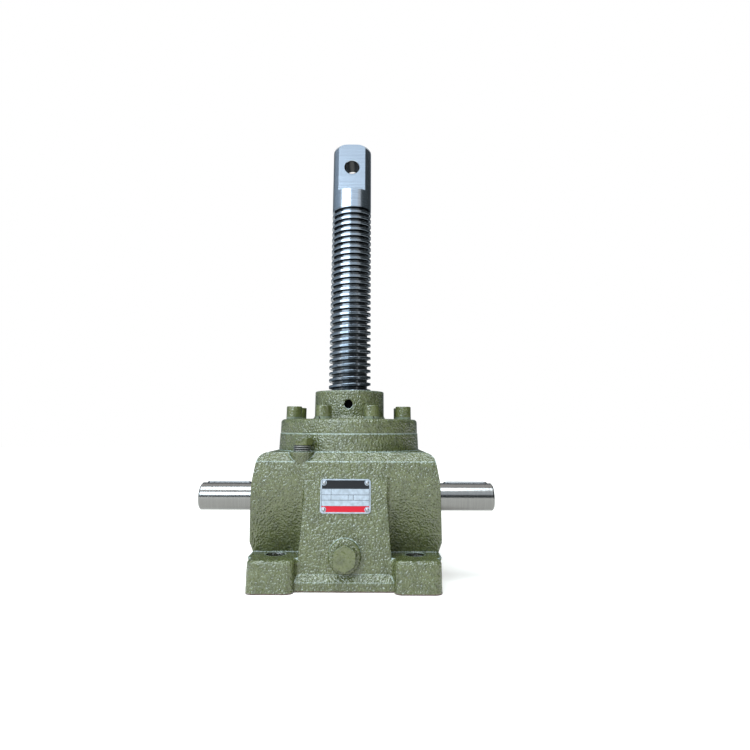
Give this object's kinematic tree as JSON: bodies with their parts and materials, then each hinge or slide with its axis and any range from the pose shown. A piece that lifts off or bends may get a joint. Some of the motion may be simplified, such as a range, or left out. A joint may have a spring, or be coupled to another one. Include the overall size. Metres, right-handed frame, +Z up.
{
  "type": "screw jack",
  "caption": "Worm-gear screw jack: cast housing on four feet, rising trapezoidal screw with a flat-sided eye end, and a double-ended keyed input shaft.",
  "frame": {"origin": "on the lifting screw's axis at the underside of the base", "axes": "+Z up along the lifting screw, X along the input shaft, the front with the nameplate and drain plug toward -Y"},
  "size_m": [0.32, 0.22, 0.53],
  "materials": {
    "paint": "glossy grey-green paint over cast iron",
    "paint_screws": "glossy grey-green paint over steel",
    "plug_paint": "glossy grey-green paint over steel",
    "gasket": "pressed fibre",
    "spring_steel": "dark spring steel",
    "bronze": "machined bronze",
    "seal_rubber": "black rubber",
    "screw_steel": "turned steel",
    "bearing_steel": "ground bearing steel",
    "cage_brass": "pressed brass",
    "shaft_steel": "ground steel",
    "key_steel": "drawn key steel",
    "plug_steel": "bare steel thread, partly painted",
    "plate_aluminium": "satin aluminium"
  },
  "bodies": {
    "jack_body": {"housing": "paint", "top_cover": "paint", "cover_gasket": "gasket", "cover_screws": "paint_screws", "spring_washers": "spring_steel", "hub_guide_bush": "bronze", "hub_wiper": "seal_rubber", "base_guide_bush": "bronze", "base_wiper": "seal_rubber", "lower_fixed_washer": "bearing_steel", "lower_thrust_balls": "bearing_steel", "lower_thrust_cage": "cage_brass", "upper_fixed_washer": "bearing_steel", "upper_thrust_balls": "bearing_steel", "upper_thrust_cage": "cage_brass", "bearing_outer_rings": "bearing_steel", "bearing_balls": "bearing_steel", "bearing_cages": "cage_brass", "retaining_rings": "spring_steel", "shaft_seals": "seal_rubber", "drain_plug": "plug_paint", "drain_washer": "gasket", "vent_plug": "plug_steel", "nameplate": "plate_aluminium", "plate_rivets": "plate_aluminium"},
    "screw": {"lifting_screw": "screw_steel"},
    "wheel": {"worm_wheel": "bronze", "lower_turning_washer": "bearing_steel", "upper_turning_washer": "bearing_steel"},
    "shaft": {"input_shaft": "shaft_steel", "shaft_keys": "key_steel", "bearing_inner_rings": "bearing_steel"}
  },
  "joints": [
    {"name": "screw_lift", "type": "slide", "parent": "jack_body", "child": "screw", "axis": [0, 0, 1], "range_m": [-0.235, 0.03]},
    {"name": "wheel_spin", "type": "hinge", "parent": "jack_body", "child": "wheel", "pos_m": [0, 0, 0.083], "axis": [0, 0, 1], "continuous": true},
    {"name": "worm_spin", "type": "hinge", "parent": "jack_body", "child": "shaft", "pos_m": [0, -0.054, 0.083], "axis": [1, 0, 0], "continuous": true}
  ],
  "couplings": [
    {"joint": "wheel_spin", "follows": "screw_lift", "rad_per_m": -785.4},
    {"joint": "worm_spin", "follows": "screw_lift", "rad_per_m": 9424.8}
  ]
}
